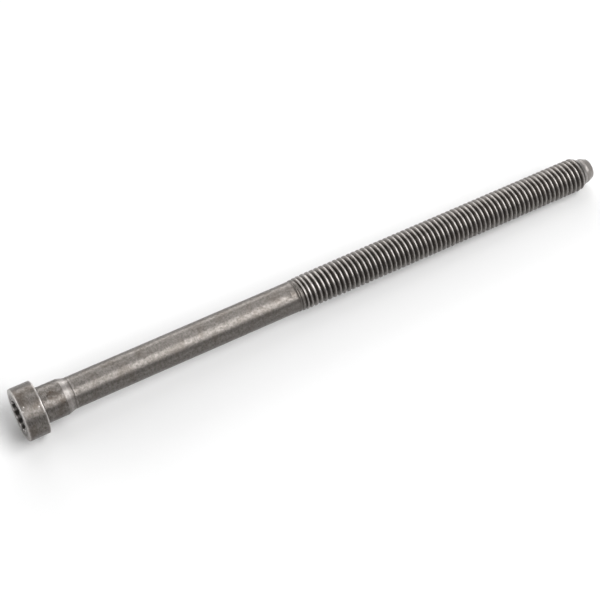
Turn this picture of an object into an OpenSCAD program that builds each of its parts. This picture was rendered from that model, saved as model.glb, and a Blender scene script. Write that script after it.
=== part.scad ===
// Cylinder head bolt: a long forged and rolled screw, made in one piece.
// It lies on the floor as it comes to rest, on the rim of its head and on its last threads.
// All sizes are in millimetres. The head is at the low X end, the point at the high X end.

/* [Head] */

// Outside diameter of the round head
head_d = 15; // [14.2:0.1:16]
// Height of the head, from its end face to the bearing face under it
head_h = 6.1; // [5.8:0.1:8]
// Radius that rounds both edges of the head
head_edge_r = 0.35; // [0.1:0.05:0.6]

/* [Drive socket] */

// Diameter across the blunt points of the twelve point socket
socket_d = 10; // [9:0.1:10.4]
// Side of the three equal squares, turned by 30 degrees, that make the twelve points
socket_side = 7.25; // [6.8:0.05:7.4]
// Depth of the straight walls of the socket
socket_depth = 4.4; // [4:0.1:4.8]
// Height of the shallow cone at the bottom of the socket
socket_cone_h = 0.9; // [0.2:0.1:1.2]

/* [Shoulder and shank] */

// Length from the bearing face under the head to the end of the point
length_under_head = 176.3; // [150:0.1:200]
// Diameter of the fitted shoulder under the head
shoulder_d = 10.18; // [9.9:0.02:10.4]
// Length of the full shoulder, from the bearing face to the start of its taper
shoulder_l = 6.5; // [4:0.1:12]
// Length of the taper from the shoulder down to the shank
taper_l = 2.5; // [1.5:0.1:5]
// Diameter of the shank, which is the blank that the thread is rolled on
shank_d = 8.96; // [8.6:0.02:9.2]
// Radius of the fillet in the corner between the bearing face and the shoulder
neck_fillet_r = 0.5; // [0.2:0.1:0.8]

/* [Thread] */

// Diameter over the crests of the thread
thread_d = 9.86; // [9.74:0.01:9.96]
// Distance from one crest to the next
thread_pitch = 1.5; // [1.5:0.25:2]
// Length of the threaded end, from the first trace of thread to the end of the point
thread_l = 98.9; // [60:0.1:110]
// Length over which the thread rises out of the shank
run_out_l = 3.3; // [2.4:0.1:4]

/* [Point] */

// Diameter of the plain point in front of the thread
point_d = 7.4; // [6.8:0.1:7.8]
// Length of the point, from the end of the thread chamfer to the end face
point_l = 2.7; // [2.2:0.1:5]
// Length of the straight part of the point, before it narrows
point_straight_l = 0.8; // [0.4:0.1:1.6]
// Diameter of the flat end face of the point
tip_d = 6; // [5:0.1:6.6]
// Length of the chamfer that takes the last crests down to the point
chamfer_l = 2.2; // [1.2:0.1:3]

/* [Hidden] */

// Name of the piece to draw, or "all"

// Angular step count of the round surfaces
$fn = 96;

head_r = head_d / 2;
socket_r = socket_d / 2;
shoulder_r = shoulder_d / 2;
shank_r = shank_d / 2;
thread_r = thread_d / 2;
point_r = point_d / 2;
tip_r = tip_d / 2;

// Heights along the bolt, measured from the end face of the head
shoulder_end = head_h + shoulder_l;
taper_end = shoulder_end + taper_l;
bolt_l = head_h + length_under_head;
thread_start = bolt_l - thread_l;
crest_start = thread_start + run_out_l;
point_start = bolt_l - point_l;
crest_end = point_start - chamfer_l;

// Basic metric thread form: 60 degree flanks, crests an eighth of the pitch wide
flank_angle = 30;
crest_flat = thread_pitch / 8;
groove_depth = 0.6134 * thread_pitch;
groove_root = thread_pitch - crest_flat - 2 * groove_depth * tan(flank_angle);
groove_count = floor((crest_end - crest_start) / thread_pitch);
overcut = 0.05;

// The bolt touches the floor with the lower rim of its head and with its last full crest,
// so its axis dips a little towards the point
touch_head = head_h - head_edge_r;
touch_thread = crest_start + groove_count * thread_pitch + crest_flat / 2;
rest_dip = atan((head_r - thread_r) / (touch_thread - touch_head));
rest_lift = thread_r * cos(rest_dip) + touch_thread * sin(rest_dip);
face_r = head_r - head_edge_r;
rest_shift = (bolt_l * cos(rest_dip) + (tip_r - face_r) * sin(rest_dip)) / 2;

// Corner of a profile outside a rounding: a square with a quarter circle taken away
module outside_corner(r) {
    difference() {
        square([r + 1, r + 1]);
        circle(r = r);
    }
}

// Half section of the head, from the axis outwards, with both edges rounded
module head_profile() {
    difference() {
        square([head_r, head_h]);
        translate([head_r - head_edge_r, head_h - head_edge_r])
            outside_corner(head_edge_r);
        translate([head_r - head_edge_r, head_edge_r])
            mirror([0, 1])
                outside_corner(head_edge_r);
    }
}

// Fillet in the corner under the head
module neck_fillet_profile() {
    translate([shoulder_r - 0.01, head_h - 0.01])
        difference() {
            square([neck_fillet_r, neck_fillet_r]);
            translate([neck_fillet_r, neck_fillet_r])
                circle(r = neck_fillet_r);
        }
}

// Half section of everything under the head, before the thread is rolled in
module blank_profile() {
    polygon([
        [0, head_h - 1],
        [shoulder_r, head_h - 1],
        [shoulder_r, shoulder_end],
        [shank_r, taper_end],
        [shank_r, thread_start],
        [thread_r, crest_start],
        [thread_r, crest_end],
        [point_r, point_start],
        [point_r, point_start + point_straight_l],
        [tip_r, bolt_l],
        [0, bolt_l]
    ]);
}

// One groove of the thread in half section, with its root at the given depth
module groove_profile(depth) {
    half_root = groove_root / 2;
    half_mouth = half_root + (depth + overcut) * tan(flank_angle);
    polygon([
        [thread_r - depth, -half_root],
        [thread_r + overcut, -half_mouth],
        [thread_r + overcut, half_mouth],
        [thread_r - depth, half_root]
    ]);
}

// All grooves: three shallow ones where the thread rises, then full depth to the chamfer
module thread_profile() {
    translate([0, crest_start - 2.5 * thread_pitch])
        groove_profile(0.55 * groove_depth);
    translate([0, crest_start - 1.5 * thread_pitch])
        groove_profile(0.8 * groove_depth);
    translate([0, crest_start - 0.5 * thread_pitch])
        groove_profile(0.95 * groove_depth);
    for (i = [0 : groove_count])
        translate([0, crest_start + (i + 0.5) * thread_pitch])
            groove_profile(groove_depth);
}

// Twelve point socket: three squares in a star, with their points cut blunt by a circle
module socket_cut() {
    translate([0, 0, -1])
        linear_extrude(height = socket_depth + 1)
            intersection() {
                circle(r = socket_r);
                union() {
                    square(socket_side, center = true);
                    rotate(30)
                        square(socket_side, center = true);
                    rotate(60)
                        square(socket_side, center = true);
                }
            }
    translate([0, 0, socket_depth - 0.01])
        cylinder(h = socket_cone_h, r1 = socket_side / 2, r2 = 0.8);
}

// The whole bolt upright, on its head
module bolt_upright() {
    difference() {
        rotate_extrude()
            difference() {
                union() {
                    head_profile();
                    neck_fillet_profile();
                    blank_profile();
                }
                thread_profile();
            }
        socket_cut();
    }
}

// The bolt as it lies, with the middle of its footprint on the origin
module bolt() {
    color([0.42, 0.40, 0.38])
        translate([-rest_shift, 0, rest_lift])
            rotate([0, 90 + rest_dip, 0])
                bolt_upright();
}

bolt();
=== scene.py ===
import math

import bpy
import numpy as np
from mathutils import Matrix, Vector


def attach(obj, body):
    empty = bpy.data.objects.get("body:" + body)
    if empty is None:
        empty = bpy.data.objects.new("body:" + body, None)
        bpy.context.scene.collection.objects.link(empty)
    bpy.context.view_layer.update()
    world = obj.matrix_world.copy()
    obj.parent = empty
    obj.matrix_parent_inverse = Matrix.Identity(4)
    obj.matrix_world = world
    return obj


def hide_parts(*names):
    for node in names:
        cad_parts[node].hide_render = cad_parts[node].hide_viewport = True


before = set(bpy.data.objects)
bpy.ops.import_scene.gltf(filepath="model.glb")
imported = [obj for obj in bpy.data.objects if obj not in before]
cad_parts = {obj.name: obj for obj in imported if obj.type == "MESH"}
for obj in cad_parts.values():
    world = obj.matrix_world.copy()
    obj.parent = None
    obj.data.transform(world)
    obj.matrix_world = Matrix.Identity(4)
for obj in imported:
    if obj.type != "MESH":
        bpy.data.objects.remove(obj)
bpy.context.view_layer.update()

# Camera: stands at the head end, a little over half way up, and looks down at the bolt
# on its floor. The view is a long lens from under half a metre, so the head is larger.
mm = 0.001
view_azimuth = math.radians(-29.150)
view_elevation = math.radians(53.006)
view_distance = 474.899 * mm
view_aim = Vector((-6.423, -0.245, 3.682)) * mm
view_focal_px = 1698.56
photo_width_px = 600

camera_back = Vector((
    math.sin(view_azimuth) * math.cos(view_elevation),
    -math.cos(view_azimuth) * math.cos(view_elevation),
    math.sin(view_elevation),
))
camera_right = Vector((math.cos(view_azimuth), math.sin(view_azimuth), 0.0))
camera_up = camera_back.cross(camera_right)

camera_data = bpy.data.cameras.new("photo_camera")
camera_data.sensor_fit = "HORIZONTAL"
camera_data.sensor_width = 36
camera_data.lens = view_focal_px * camera_data.sensor_width / photo_width_px
camera_data.clip_start = 10 * mm
camera = bpy.data.objects.new("photo_camera", camera_data)
bpy.context.scene.collection.objects.link(camera)
turn = Matrix((camera_right, camera_up, camera_back)).transposed().to_4x4()
camera.matrix_world = Matrix.Translation(view_aim + view_distance * camera_back) @ turn
bpy.context.scene.camera = camera

# Bolt: one steel forging. The head is upset and its socket pressed in, the shoulder and
# point are turned, and the thread is rolled on, so its crests stand above the shank.
# Sizes are in millimetres, and heights along the bolt count from the end face of the head.
head_d, head_h, head_edge_r = 15.0, 6.1, 0.35
socket_d, socket_side, socket_depth = 10.0, 7.25, 4.4
socket_cone_h, socket_cone_tip_r = 0.9, 0.8
shoulder_d, shoulder_l, shoulder_edge_r, neck_fillet_r = 10.18, 6.5, 0.5, 0.5
taper_l, taper_groove_w = 2.5, 0.2
shank_d, length_under_head = 8.96, 176.3
thread_d, thread_pitch, thread_l, run_out_l = 9.86, 1.5, 98.9, 3.3
point_d, point_l, point_straight_l, tip_d, chamfer_l = 7.4, 2.7, 0.8, 6.0, 2.2
undercut_depth = 0.12

head_r, socket_r, shoulder_r, shank_r = head_d / 2, socket_d / 2, shoulder_d / 2, shank_d / 2
face_r = head_r - head_edge_r
thread_r, point_r, tip_r = thread_d / 2, point_d / 2, tip_d / 2
bolt_l = head_h + length_under_head
socket_bottom = socket_depth + socket_cone_h
shoulder_end = head_h + shoulder_l
taper_end = shoulder_end + taper_l
thread_start = bolt_l - thread_l
crest_start = thread_start + run_out_l
point_start = bolt_l - point_l
crest_end = point_start - chamfer_l

# Worn thread form: crests a fifth of the pitch wide, grooves as deep as the standard says
crest_flat, groove_depth = 0.2 * thread_pitch, 0.6134 * thread_pitch
crest_ease, root_ease = 0.07, 0.09
first_turn_spacing = 0.82


def ramp(value, start, length):
    """Weight that rises from 0 at the start to 1 one length on. With a negative length it
    is 1 first and falls to 0 at the start."""
    return np.clip((value - start) / length, 0, 1)


def rounding(centre_along, centre_radius, r, first, last, steps):
    """Arc of a section: centre plus r times (sine, cosine) of angles from first to last, in
    degrees from the outward direction."""
    bearing = np.radians(np.linspace(first, last, steps))
    return np.stack([centre_along + r * np.sin(bearing),
                     centre_radius + r * np.cos(bearing)], axis=1)


def socket_outline(bearing):
    """Radius of three squares laid over each other at 30 degree steps, cut by a circle."""
    half = socket_side / 2
    squares = [half / np.maximum(abs(np.cos(bearing - a)), abs(np.sin(bearing - a)))
               for a in np.radians([0, 30, 60])]
    return np.minimum(np.max(squares, axis=0), socket_r)


def eased_min(a, b, ease):
    """Lower of two heights, with the corner where they cross rounded over twice the ease."""
    return np.minimum(a, b) - np.maximum(ease - abs(a - b), 0) ** 2 / (4 * ease)


def threaded_radius(along, bearing):
    """Radius of the helix: a 60 degree V between a crest and a root height that both fan out
    from the shank over the first turns, all under the cone of the lead-in chamfer and over
    the point, which is undercut where it starts."""
    turns = (along - crest_start) / thread_pitch - bearing / (2 * math.pi)
    turns = np.where(turns < -1, -1 + (turns + 1) / first_turn_spacing, turns)
    off_crest = abs((turns + 0.5) % 1.0 - 0.5) * thread_pitch
    flank = thread_r - (off_crest - crest_flat / 2) * math.tan(math.radians(60))
    crest = np.interp(along, thread_start + np.array([-1.1, -0.6, 0.2, 1.2, 3.3, 18]),
                      [shank_r, 4.60, 4.64, 4.76, thread_r - 0.07, thread_r])
    root = np.interp(along, thread_start + np.array([-1.5, -0.8, 0.1, 1.1, 2.1]),
                     [shank_r, 4.41, 4.28, 4.08, thread_r - groove_depth])
    radius = eased_min(flank, crest, crest_ease)
    radius = -eased_min(-radius, -root, root_ease)
    chamfer = thread_r - (thread_r - point_r) * (along - crest_end) / chamfer_l
    undercut = (undercut_depth * ramp(along, point_start - 0.7, 0.3)
                * ramp(along, point_start + 0.35, -0.3))
    return np.maximum(np.minimum(radius, chamfer), point_r - undercut)


# Section rows up to the thread, each a height along the bolt and a radius. They run from
# the middle of the socket out over the head and down the shank. Rows of the socket's walls
# give an offset from its outline, which opens at the mouth.
columns = 96
angle = np.arange(columns) * (2 * math.pi / columns)


def level_rings(rows):
    """Grid of level rings: each section row repeated over all columns round the bolt."""
    return np.repeat(np.asarray(rows)[:, None, :], columns, axis=1)


socket_floor = np.linspace([socket_bottom, socket_cone_tip_r], [socket_depth, socket_side / 2], 3)
socket_walls = level_rings([
    [socket_depth, -0.02], [socket_depth - 0.15, 0.0], [0.5 * socket_depth, 0.0],
    [0.4, 0.0], [0.2, 0.0], [0.08, 0.04], [0.0, 0.14],
])
socket_walls[:, :, 1] += socket_outline(angle)
head_rows = np.concatenate([
    [[0.0, 5.6], [0.0, 6.4], [0.0, face_r - 0.1]],
    rounding(head_edge_r, face_r, head_edge_r, -90, 0, 7),
    np.linspace([0.6, head_r], [head_h - 0.6, head_r], 9),
    rounding(head_h - head_edge_r, face_r, head_edge_r, 0, 90, 7),
    [[head_h, face_r - 0.1], [head_h, shoulder_r + neck_fillet_r + 0.2]],
    rounding(head_h + neck_fillet_r, shoulder_r + neck_fillet_r, neck_fillet_r, 270, 180, 6),
])
taper_slope = math.degrees(math.atan2(shoulder_r - shank_r, taper_l - taper_groove_w))
groove_and_ring = np.array([
    [-0.45, 0.045], [-0.28, -0.012], [-0.1, -0.02], [0.06, 0.02], [0.2, 0.028], [0.38, 0.012],
    [0.6, 0],
])
shank_rows = np.concatenate([
    np.linspace([head_h + 1, shoulder_r], [shoulder_end - 0.6, shoulder_r], 8),
    rounding(shoulder_end - 0.1, shoulder_r - shoulder_edge_r, shoulder_edge_r, 0, taper_slope, 5),
    [[shoulder_end + 1.1, shoulder_r - 0.325]],
    groove_and_ring + [taper_end, shank_r],
    np.linspace([taper_end + 1.0, shank_r], [thread_start - thread_pitch - 1.2, shank_r], 40),
])
before_thread = np.concatenate([
    level_rings(socket_floor), socket_walls, level_rings(head_rows), level_rings(shank_rows),
])

# Threaded rows run along the helix, so each follows a crest, flank or root. A row that
# has gone once round meets the row one pitch on. The rows fan out from a level ring at
# the start and close up on a level ring at the end, where they lie pressed together.
row_places = np.array([0, 0.055, 0.1, 0.17, 0.29, 0.40, 0.5, 0.60, 0.71, 0.83, 0.90, 0.945])
rows_a_turn = len(row_places)
turns_before_crest = 4
pressed_l = 0.0002
helix_start = crest_start - turns_before_crest * thread_pitch
helix_end = point_start + point_straight_l
turns_total = math.ceil((helix_end - crest_start) / thread_pitch) + turns_before_crest
level = np.arange(-rows_a_turn, turns_total * rows_a_turn + 1)
turn_of_row = level // rows_a_turn + row_places[level % rows_a_turn]
share = angle / (2 * math.pi)
along = helix_start + thread_pitch * (turn_of_row[:, None] + share)
fanning = level < 0
along[fanning] = helix_start + thread_pitch * share * (1 + turn_of_row[fanning])[:, None]
closing = level > (turns_total - 1) * rows_a_turn
last_turn = helix_start + thread_pitch * (turns_total - 1 + share)
still_open = helix_start + thread_pitch * turns_total - last_turn
along[closing] = last_turn + still_open * (turn_of_row[closing] - (turns_total - 1))[:, None]
along = np.minimum(along, helix_end + pressed_l * np.arange(len(along))[:, None] / len(along))
thread_rows = np.stack([along, threaded_radius(along, angle)], axis=2)

# Point: a cone with its edge eased, and a flat end face
after_thread = level_rings(np.concatenate([
    [[helix_end + 0.15, point_r - 0.03]],
    np.linspace([helix_end + 0.4, point_r - 0.13], [bolt_l - 0.25, tip_r + 0.08], 4),
    rounding(bolt_l - 0.2, tip_r - 0.17, 0.2, 20, 90, 5),
    [[bolt_l, tip_r / 2]],
]))


def ring_numbers(rows, start):
    """Vertex numbers of level rings, one row a ring, with the first column repeated last."""
    rings = start + np.arange(rows * columns).reshape(rows, columns)
    return np.concatenate([rings, rings[:, :1]], axis=1)


first_thread_number = len(before_thread) * columns
helix_numbers = first_thread_number + np.arange(along.size).reshape(-1, columns)
helix_numbers[:rows_a_turn, 0] = helix_numbers[rows_a_turn, 0]
next_turn = np.minimum(np.arange(len(level)) + rows_a_turn, len(level) - 1)
numbers = np.concatenate([
    ring_numbers(len(before_thread), 0),
    np.concatenate([helix_numbers, helix_numbers[next_turn, :1]], axis=1),
    ring_numbers(len(after_thread), first_thread_number + along.size),
])

section = np.concatenate([before_thread, thread_rows, after_thread])
upright = np.stack([section[:, :, 1] * np.cos(angle), section[:, :, 1] * np.sin(angle),
                    section[:, :, 0]], axis=2).reshape(-1, 3)
socket_pole, tip_pole = len(upright), len(upright) + 1
upright = np.concatenate([upright, [[0, 0, socket_bottom], [0, 0, bolt_l]]])

# Each cell of the grid is two triangles, and a fan closes each end. Cells that the fanning
# rows pinch to nothing are left out, and so are vertices that no face uses.
corner_a, corner_b = numbers[:-1, :-1], numbers[:-1, 1:]
corner_c, corner_d = numbers[1:, 1:], numbers[1:, :-1]
faces = np.concatenate([
    np.stack([corner_a, corner_b, corner_c], axis=2).reshape(-1, 3),
    np.stack([corner_a, corner_c, corner_d], axis=2).reshape(-1, 3),
    np.stack([np.full(columns, socket_pole), numbers[0, 1:], numbers[0, :-1]], axis=1),
    np.stack([numbers[-1, :-1], numbers[-1, 1:], np.full(columns, tip_pole)], axis=1),
])
faces = faces[np.all(faces != np.roll(faces, 1, axis=1), axis=1)]
used, faces = np.unique(faces, return_inverse=True)
faces, upright = faces.reshape(-1, 3), upright[used]

# Places of wear, read from the section itself: bare metal where it rubs or was turned
# last, painted shade in a dark oil tone where it is recessed, brown stains where it was
# handled hot, and a dry, matt coat in the socket, on the point and a little on the thread
place_along = upright[:, 2]
place_radius = np.hypot(upright[:, 0], upright[:, 1])
place_angle = np.degrees(np.arctan2(upright[:, 1], upright[:, 0])) % 360
below_crest = np.interp(
    place_along, [thread_start - 1.6, thread_start, crest_start + 4, crest_end, point_start],
    [shank_r, 4.65, thread_r, thread_r, point_r]) - place_radius
inside_socket = (place_radius < socket_r + 0.02) & (place_along < socket_bottom + 0.01)
on_head = (place_along < head_h + 0.02) & (place_radius > 5.7)
on_thread = place_along > thread_start - 1.6


def around(value, centre, width):
    """Bell shaped weight: 1 at the centre, about a third at the width."""
    return np.exp(-((value - centre) / width) ** 2)


end_face_wear = 0.4 * (on_head & (place_along < 0.06))
rim_wear = on_head * (place_radius > 7.1) * np.maximum(
    0.45 * around(place_along, 0.12, 0.22), 0.9 * around(place_along, head_h - 0.12, 0.2))
taper_wear = (0.3 * ramp(place_along, shoulder_end - 0.05, 0.15)
              * ramp(place_along, taper_end - 0.42, -0.12))
ring_wear = 0.12 * around(place_along, taper_end + 0.2, 0.16)
crest_wear = (0.27 * on_thread * (place_along < point_start + 0.1)
              * ramp(below_crest, 0.25, -0.25) * ramp(place_along, thread_start, 1.5))
point_wear = 0.08 * ramp(place_along, point_start, 0.3)
bare = np.maximum.reduce([end_face_wear, rim_wear, taper_wear, ring_wear, crest_wear, point_wear])
bare = np.where(inside_socket, 0.8 * ramp(place_radius, 4.65, -0.4), bare)

# Painted shade: a dark share deep in the thread's grooves, in the taper's groove, in the neck
# under the head and in the socket's pockets and bottom, where shade falls
groove_shade = 0.8 * (on_thread & (place_along < point_start)) * ramp(below_crest, 0.62, 0.3)
taper_groove_shade = 0.2 * around(place_along, taper_end - 0.14, 0.13)
neck_shade = 0.8 * (place_radius < 6.2) * around(place_along, head_h + 0.1, 0.35)
socket_shade = inside_socket * np.clip(
    np.minimum(ramp(place_radius, 4.3, 0.5), 0.7) + ramp(place_along, 3.8, 0.6), 0, 1)
hollow_shade = np.maximum.reduce([groove_shade, taper_groove_shade, neck_shade, socket_shade])

stained = np.interp(
    place_along,
    [0, head_h, shoulder_end, taper_end + 2, 60, point_start - 1, point_start],
    [0.65, 0.6, 0.7, 0.35, 0.3, 0.3, 0.6])
stained = stained + 1.1 * around(place_along, 8.4, 1.5) * around(place_angle, 182, 14)

matt = np.maximum(0.12 * ramp(place_along, thread_start - 1.0, 2.0),
                  0.85 * ramp(place_along, point_start - 0.5, 0.5))
matt = np.where(inside_socket, 1.0, matt)

# The upright bolt is laid down, head at low X, with its axis dipped so that it touches
# the floor with its head rim and with the middle of its last full crest
whole_turns = math.floor((crest_end - crest_start) / thread_pitch)
last_crest = crest_start + (whole_turns + 1 / 16) * thread_pitch
rest_dip = math.atan((head_r - thread_r) / (last_crest - head_h + head_edge_r))
rest_lift = thread_r * math.cos(rest_dip) + last_crest * math.sin(rest_dip)
rest_shift = (bolt_l * math.cos(rest_dip) + (tip_r - face_r) * math.sin(rest_dip)) / 2
lay = np.array(Matrix.Rotation(math.pi / 2 + rest_dip, 3, "Y"))
lying = upright @ lay.T + np.array([-rest_shift, 0, rest_lift])

sharp_edge = math.radians(38)
bolt_mesh = bpy.data.meshes.new("bolt_body")
bolt_mesh.from_pydata((lying * mm).tolist(), [], faces.tolist())
bolt_mesh.polygons.foreach_set("use_smooth", np.ones(len(faces), dtype=bool))
bolt_mesh.set_sharp_from_angle(angle=sharp_edge)
# The marks are wear, stains and a matt coat, and the painted shade of the recesses
wear_and_shade_marks = {"bare": bare, "hollow_shade": hollow_shade, "stained": stained, "matt": matt}
for name, values in wear_and_shade_marks.items():
    layer = bolt_mesh.attributes.new(name, "FLOAT", "POINT")
    layer.data.foreach_set("value", values.astype(np.float32))
bolt_body = bpy.data.objects.new("bolt_body", bolt_mesh)
bpy.context.scene.collection.objects.link(bolt_body)


def group(name, inputs, outputs):
    """New shader node group, from the name and kind of each socket; gives the tree and its
    input and output nodes."""
    tree = bpy.data.node_groups.new(name, "ShaderNodeTree")
    for side, sockets in (("INPUT", inputs), ("OUTPUT", outputs)):
        for socket_name, kind in sockets.items():
            tree.interface.new_socket(socket_name, in_out=side, socket_type="NodeSocket" + kind)
    return tree, tree.nodes.new("NodeGroupInput"), tree.nodes.new("NodeGroupOutput")


def noise(tree, place, scale, detail, roughness=0.55, distortion=0.0):
    """Noise texture on the place vector; scale counts its features over one metre."""
    node = tree.nodes.new("ShaderNodeTexNoise")
    node.inputs["Scale"].default_value = scale
    node.inputs["Detail"].default_value = detail
    node.inputs["Roughness"].default_value = roughness
    node.inputs["Distortion"].default_value = distortion
    tree.links.new(place, node.inputs["Vector"])
    return node.outputs["Fac"]


def remap(tree, value, low, high, to_low=0.0, to_high=1.0):
    """Smooth step of value from low..high to to_low..to_high."""
    node = tree.nodes.new("ShaderNodeMapRange")
    node.interpolation_type = "SMOOTHSTEP"
    ends = {"From Min": low, "From Max": high, "To Min": to_low, "To Max": to_high}
    for socket_name, number in ends.items():
        node.inputs[socket_name].default_value = number
    tree.links.new(value, node.inputs["Value"])
    return node.outputs["Result"]


def calculate(tree, operation, a, b):
    """Math node; a and b are sockets or numbers."""
    node = tree.nodes.new("ShaderNodeMath")
    node.operation = operation
    for socket, value in zip(node.inputs, (a, b)):
        if isinstance(value, (int, float)):
            socket.default_value = value
        else:
            tree.links.new(value, socket)
    return node.outputs[0]


def blend(tree, factor, a, b):
    """Mix of two colours, given as sockets or as linear red, green and blue. Inputs 6 and 7
    and output 2 of the node are its colours."""
    node = tree.nodes.new("ShaderNodeMix")
    node.data_type = "RGBA"
    tree.links.new(factor, node.inputs["Factor"])
    for socket, value in ((node.inputs[6], a), (node.inputs[7], b)):
        if isinstance(value, tuple):
            socket.default_value = (*value, 1)
        else:
            tree.links.new(value, socket)
    return node.outputs[2]


# Skin of the steel: a thin oily phosphate coat, grey with brown clouds and small dark
# specks, worn to bare metal where it rubs, and with shade painted into its recesses in a
# dark oil tone. Marks of turning run round the bolt, so their noise is squeezed along it.
coat_dark, coat_light = (0.085, 0.077, 0.070), (0.190, 0.176, 0.165)
brown_cloud, brown_speck = (0.078, 0.062, 0.050), (0.046, 0.037, 0.030)
# The last of these is the dark tone that paints shade into the recesses
dry_coat, bare_steel, painted_shade_colour = (0.27, 0.25, 0.235), (0.66, 0.63, 0.61), (0.030, 0.026, 0.022)
turning_squeeze = (3.2, 0.8, 0.8)

skin, skin_in, skin_out = group(
    "oiled_skin",
    {"Place": "Vector", "Bare": "Float", "Hollow_shade": "Float", "Stained": "Float", "Matt": "Float"},
    {"Color": "Color", "Roughness": "Float", "Metallic": "Float", "Height": "Float"})
place, stained_share = skin_in.outputs["Place"], skin_in.outputs["Stained"]
patches = noise(skin, place, 1350, 4, 0.7)
clouds = noise(skin, place, 230, 4, 0.65, 0.4)
specks = noise(skin, place, 1900, 3, 0.65)
grain = noise(skin, place, 5200, 2)
squeeze = skin.nodes.new("ShaderNodeVectorMath")
squeeze.operation = "MULTIPLY"
squeeze.inputs[1].default_value = turning_squeeze
skin.links.new(place, squeeze.inputs[0])
turned = noise(skin, squeeze.outputs[0], 1000, 3, 0.6)

turned = calculate(skin, "MULTIPLY", calculate(skin, "SUBTRACT", turned, 0.5), stained_share)
tone = calculate(skin, "ADD", calculate(skin, "MULTIPLY", patches, 0.75), turned)
tone = remap(skin, calculate(skin, "ADD", tone, 0.125), 0.25, 0.75)
skin_color = blend(skin, tone, coat_dark, coat_light)
stain = calculate(skin, "MULTIPLY", remap(skin, clouds, 0.46, 0.66), stained_share)
skin_color = blend(skin, stain, skin_color, brown_cloud)
dark_specks = remap(skin, specks, 0.56, 0.70, 0.0, 0.85)
dark_specks = calculate(skin, "MULTIPLY", dark_specks, stained_share)
skin_color = blend(skin, dark_specks, skin_color, brown_speck)
matt_share = calculate(skin, "MULTIPLY", skin_in.outputs["Matt"], 0.7)
skin_color = blend(skin, matt_share, skin_color, dry_coat)
wear = remap(skin, specks, 0.30, 0.55, 0.55, 1.0)
wear = calculate(skin, "MULTIPLY", skin_in.outputs["Bare"], wear)
skin_color = blend(skin, wear, skin_color, bare_steel)
# Painted shade: the colour goes towards the dark oil tone by the share of the recesses, a little
# less where the patches are light
painted_shade = remap(skin, patches, 0.25, 0.6, 1.0, 0.9)
painted_shade = calculate(skin, "MULTIPLY", skin_in.outputs["Hollow_shade"], painted_shade)
skin_color = blend(skin, painted_shade, skin_color, painted_shade_colour)
skin.links.new(skin_color, skin_out.inputs["Color"])

rough = remap(skin, patches, 0.3, 0.7, 0.41, 0.33)
for cause, operation, change in (
    (stain, "ADD", 0.10),
    (wear, "SUBTRACT", 0.06),
    (painted_shade, "ADD", 0.15),
):
    rough = calculate(skin, operation, rough, calculate(skin, "MULTIPLY", cause, change))
skin.links.new(rough, skin_out.inputs["Roughness"])
skin.links.new(calculate(skin, "SUBTRACT", 1.0, matt_share), skin_out.inputs["Metallic"])
height = calculate(skin, "MULTIPLY", patches, 0.55)
for pattern, weight in ((specks, 0.35), (grain, 0.10)):
    height = calculate(skin, "ADD", height, calculate(skin, "MULTIPLY", pattern, weight))
skin.links.new(height, skin_out.inputs["Height"])

# Nick: a small knock or scratch, given as the line between two places and its width. Its
# mask is 1 on the line and falls evenly to 0 at the width.
nick, nick_in, nick_out = group(
    "nick", {"Place": "Vector", "Start": "Vector", "End": "Vector", "Width": "Float"},
    {"Mask": "Float"})


def vector_step(operation, a, b=None, output=0, second=1):
    """Vector math node in the nick group; b goes to the input that second names."""
    node = nick.nodes.new("ShaderNodeVectorMath")
    node.operation = operation
    nick.links.new(a, node.inputs[0])
    if b is not None:
        nick.links.new(b, node.inputs[second])
    return node.outputs[output]


from_start = vector_step("SUBTRACT", nick_in.outputs["Place"], nick_in.outputs["Start"])
run = vector_step("SUBTRACT", nick_in.outputs["End"], nick_in.outputs["Start"])
part = calculate(nick, "DIVIDE", vector_step("DOT_PRODUCT", from_start, run, output="Value"),
                 vector_step("DOT_PRODUCT", run, run, output="Value"))
part = calculate(nick, "MINIMUM", calculate(nick, "MAXIMUM", part, 0.0), 1.0)
nearest = vector_step("SCALE", run, part, second="Scale")
away = vector_step("LENGTH", vector_step("SUBTRACT", from_start, nearest), output="Value")
near = calculate(nick, "SUBTRACT", 1.0, calculate(nick, "DIVIDE", away, nick_in.outputs["Width"]))
nick.links.new(calculate(nick, "MAXIMUM", near, 0.0), nick_out.inputs["Mask"])

# Oiled steel: the skin, with three nicks on the side of the head, two near its end face and
# one near its far edge
nick_depth, relief_depth = 1.2, 0.043 * mm
steel = bpy.data.materials.new("oiled_steel")
steel.use_nodes = True
nodes, links = steel.node_tree.nodes, steel.node_tree.links
shader = nodes["Principled BSDF"]
coordinates = nodes.new("ShaderNodeTexCoord")
nicks = None
for start, end, width in (
    ((-89.96, -2.85, 14.51), (-89.9, -2.98, 14.46), 0.20),
    ((-90.60, -3.75, 14.06), (-90.55, -3.92, 13.98), 0.17),
    ((-86.16, -4.05, 13.82), (-86.1, -4.15, 13.77), 0.18),
):
    knock = nodes.new("ShaderNodeGroup")
    knock.node_tree = nick
    knock.inputs["Start"].default_value = tuple(v * mm for v in start)
    knock.inputs["End"].default_value = tuple(v * mm for v in end)
    knock.inputs["Width"].default_value = width * mm
    links.new(coordinates.outputs["Object"], knock.inputs["Place"])
    mask = knock.outputs["Mask"]
    nicks = mask if nicks is None else calculate(steel.node_tree, "MAXIMUM", nicks, mask)
coat = nodes.new("ShaderNodeGroup")
coat.node_tree = skin
links.new(coordinates.outputs["Object"], coat.inputs["Place"])
for name in wear_and_shade_marks:
    attribute = nodes.new("ShaderNodeAttribute")
    attribute.attribute_name = name
    amount = attribute.outputs["Fac"]
    if name == "bare":
        amount = calculate(steel.node_tree, "MAXIMUM", amount, nicks)
    links.new(amount, coat.inputs[name.capitalize()])
links.new(coat.outputs["Color"], shader.inputs["Base Color"])
links.new(coat.outputs["Roughness"], shader.inputs["Roughness"])
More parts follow.
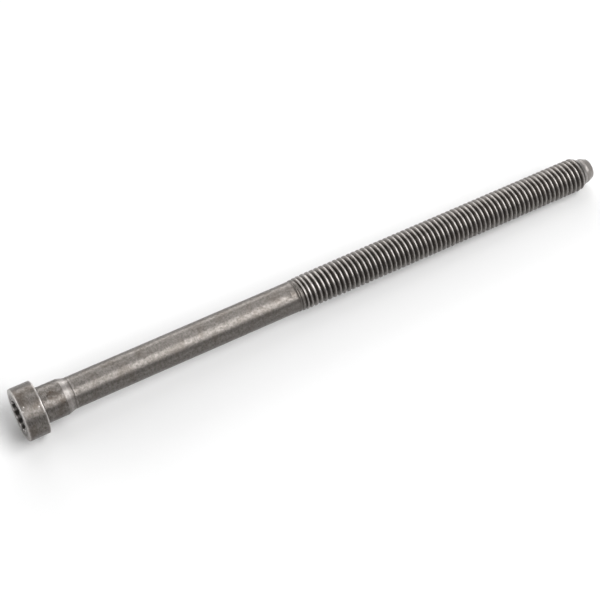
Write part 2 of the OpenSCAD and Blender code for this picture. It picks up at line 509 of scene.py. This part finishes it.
links.new(coat.outputs["Metallic"], shader.inputs["Metallic"])
relief = calculate(steel.node_tree, "SUBTRACT", coat.outputs["Height"],
                   calculate(steel.node_tree, "MULTIPLY", nicks, nick_depth))
bump = nodes.new("ShaderNodeBump")
bump.inputs["Strength"].default_value = 1.0
bump.inputs["Distance"].default_value = relief_depth
links.new(relief, bump.inputs["Height"])
links.new(bump.outputs["Normal"], shader.inputs["Normal"])
bolt_mesh.materials.append(steel)

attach(bolt_body, "root")
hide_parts("bolt")

# Floor: a plain pale painted sheet that the bolt lies on. It ends about where the lamps
# stand, so it stays pale up to its edge when it is seen from low down.
floor_half, floor_grey, floor_roughness = 1.1, 0.87, 0.9
floor_mesh = bpy.data.meshes.new("floor")
floor_corners = [(x * floor_half, y * floor_half, 0)
                 for x, y in ((-1, -1), (1, -1), (1, 1), (-1, 1))]
floor_mesh.from_pydata(floor_corners, [], [(0, 1, 2, 3)])
floor = bpy.data.objects.new("floor", floor_mesh)
bpy.context.scene.collection.objects.link(floor)
floor_paint = bpy.data.materials.new("floor_paint")
floor_paint.use_nodes = True
floor_shader = floor_paint.node_tree.nodes["Principled BSDF"]
floor_shader.inputs["Base Color"].default_value = (floor_grey, floor_grey, floor_grey, 1)
floor_shader.inputs["Roughness"].default_value = floor_roughness
floor_mesh.materials.append(floor_paint)

# Light: soft boxes in an arc over the bolt, from front to back. The one high in front gives
# the bright band, those behind it light the upper side and the thread, and the low ones on
# the left light the end face. Sizes are in metres and powers in watts.
lamp_distance = 1.2


def soft_box(name, direction, size, power):
    """Area lamp that stands the lamp distance away along direction and faces the bolt."""
    data = bpy.data.lights.new(name, "AREA")
    data.shape = "RECTANGLE"
    data.size, data.size_y = size
    data.energy = power
    lamp = bpy.data.objects.new(name, data)
    bpy.context.scene.collection.objects.link(lamp)
    way = Vector(direction).normalized()
    lamp.location = way * lamp_distance
    lamp.rotation_euler = way.to_track_quat("Z", "Y").to_euler()


for name, direction, size, power in (
    ("front_box", (0.34, -0.70, 0.63), (0.87, 0.45), 5.9),
    ("band_box", (0.36, -0.35, 0.87), (0.87, 0.40), 8.2),
    ("upper_box", (0.28, 0.17, 0.94), (0.87, 0.40), 2.2),
    ("back_box", (0.28, 0.62, 0.73), (0.87, 0.80), 3.2),
    ("low_back_box", (0.28, 0.89, 0.36), (0.87, 0.40), 4.7),
    ("left_back_box", (-0.75, 0.60, 0.20), (1.00, 0.45), 6.6),
    ("left_box", (-0.97, -0.02, 0.20), (1.00, 0.45), 6.2),
):
    soft_box(name, direction, size, power)

# Room: it hardly lights the bolt, and the camera and the metal see it as a mid grey
room_light, room_seen = 0.02, 0.32
world = bpy.data.worlds.new("studio")
world.use_nodes = True
room = world.node_tree
background = room.nodes["Background"]
light_path = room.nodes.new("ShaderNodeLightPath")
seen = light_path.outputs["Is Camera Ray"]
for ray in ("Is Glossy Ray", "Is Transmission Ray"):
    seen = calculate(room, "ADD", seen, light_path.outputs[ray])
background.inputs["Color"].default_value = (1, 1, 1, 1)
room.links.new(remap(room, seen, 0.0, 1.0, room_light, room_seen), background.inputs["Strength"])
bpy.context.scene.world = world
bpy.context.scene.view_settings.view_transform = "Standard"
